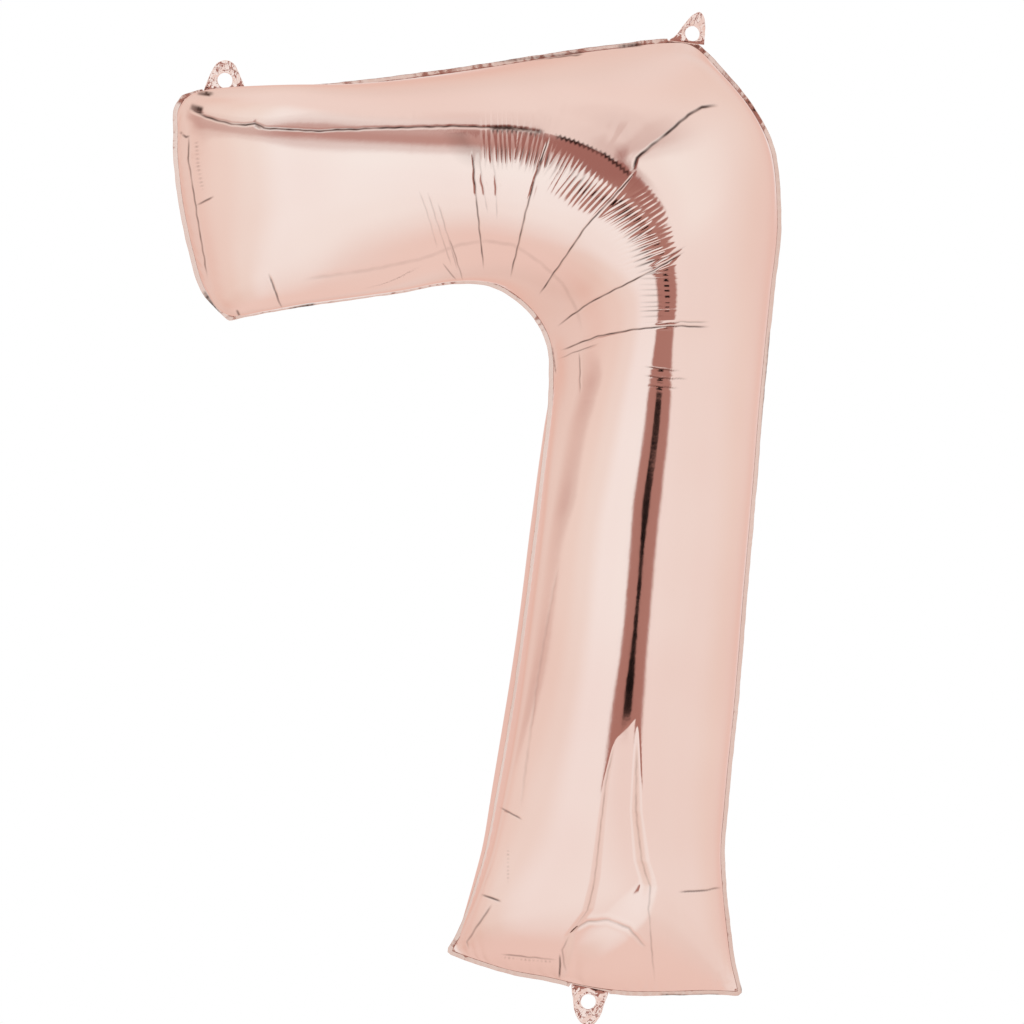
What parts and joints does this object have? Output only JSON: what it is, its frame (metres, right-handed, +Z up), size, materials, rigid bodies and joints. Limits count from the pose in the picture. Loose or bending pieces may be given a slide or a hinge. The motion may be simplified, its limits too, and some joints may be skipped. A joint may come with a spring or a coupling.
{
  "type": "foil number balloon",
  "caption": "Inflated foil balloon shaped as the figure seven: two mirrored panels welded along a flat seam, with three hanging tabs and a self-closing valve in the foot.",
  "frame": {"origin": "centre of the hanging hole in the bottom tail, in the plane of the weld seam", "axes": "+Z up along the leg of the figure, +X along the bar towards the outer corner, +Y towards the back, through the thickness"},
  "size_m": [0.5337, 0.2236, 0.8858],
  "materials": {
    "foil_skin": "mirror, rose-gold metallised film",
    "foil_weld": "mirror, crimped by the weld",
    "foil_tab": "mirror, crinkled",
    "valve_film": "thin milky film"
  },
  "bodies": {
    "envelope": {"front_panel": "foil_skin", "back_panel": "foil_skin", "front_weld_margin": "foil_weld", "back_weld_margin": "foil_weld"},
    "tab_left": {"tab_left_front_ply": "foil_tab", "tab_left_back_ply": "foil_tab"},
    "tab_right": {"tab_right_front_ply": "foil_tab", "tab_right_back_ply": "foil_tab"},
    "tail": {"tail_front_ply": "foil_tab", "tail_back_ply": "foil_tab"},
    "valve_front": {"valve_front_film": "valve_film"},
    "valve_back": {"valve_back_film": "valve_film"}
  },
  "joints": [
    {"name": "left_tab_fold", "type": "hinge", "parent": "envelope", "child": "tab_left", "pos_m": [-0.3172, 0, 0.7909], "axis": [0.9973, 0, 0.0732], "range_deg": [-70, 70], "stiffness_Nm_per_rad": 0.0001},
    {"name": "right_tab_fold", "type": "hinge", "parent": "envelope", "child": "tab_right", "pos_m": [0.0856, 0, 0.8382], "axis": [0.9945, 0, -0.1045], "range_deg": [-70, 70], "stiffness_Nm_per_rad": 0.0001},
    {"name": "tail_fold", "type": "hinge", "parent": "envelope", "child": "tail", "pos_m": [0.0016, 0, 0.012], "axis": [-0.9748, 0, 0.2233], "range_deg": [-70, 70], "stiffness_Nm_per_rad": 0.0001},
    {"name": "valve_front_open", "type": "hinge", "parent": "envelope", "child": "valve_front", "pos_m": [0.00361, -0.00042, 0.02077], "axis": [0.9748, 0, -0.2233], "range_deg": [0, 4]},
    {"name": "valve_back_open", "type": "hinge", "parent": "envelope", "child": "valve_back", "pos_m": [0.00361, 0.00042, 0.02077], "axis": [-0.9748, 0, 0.2233], "range_deg": [0, 4]}
  ],
  "couplings": [
    {"joint": "valve_back_open", "follows": "valve_front_open", "ratio": 1}
  ]
}
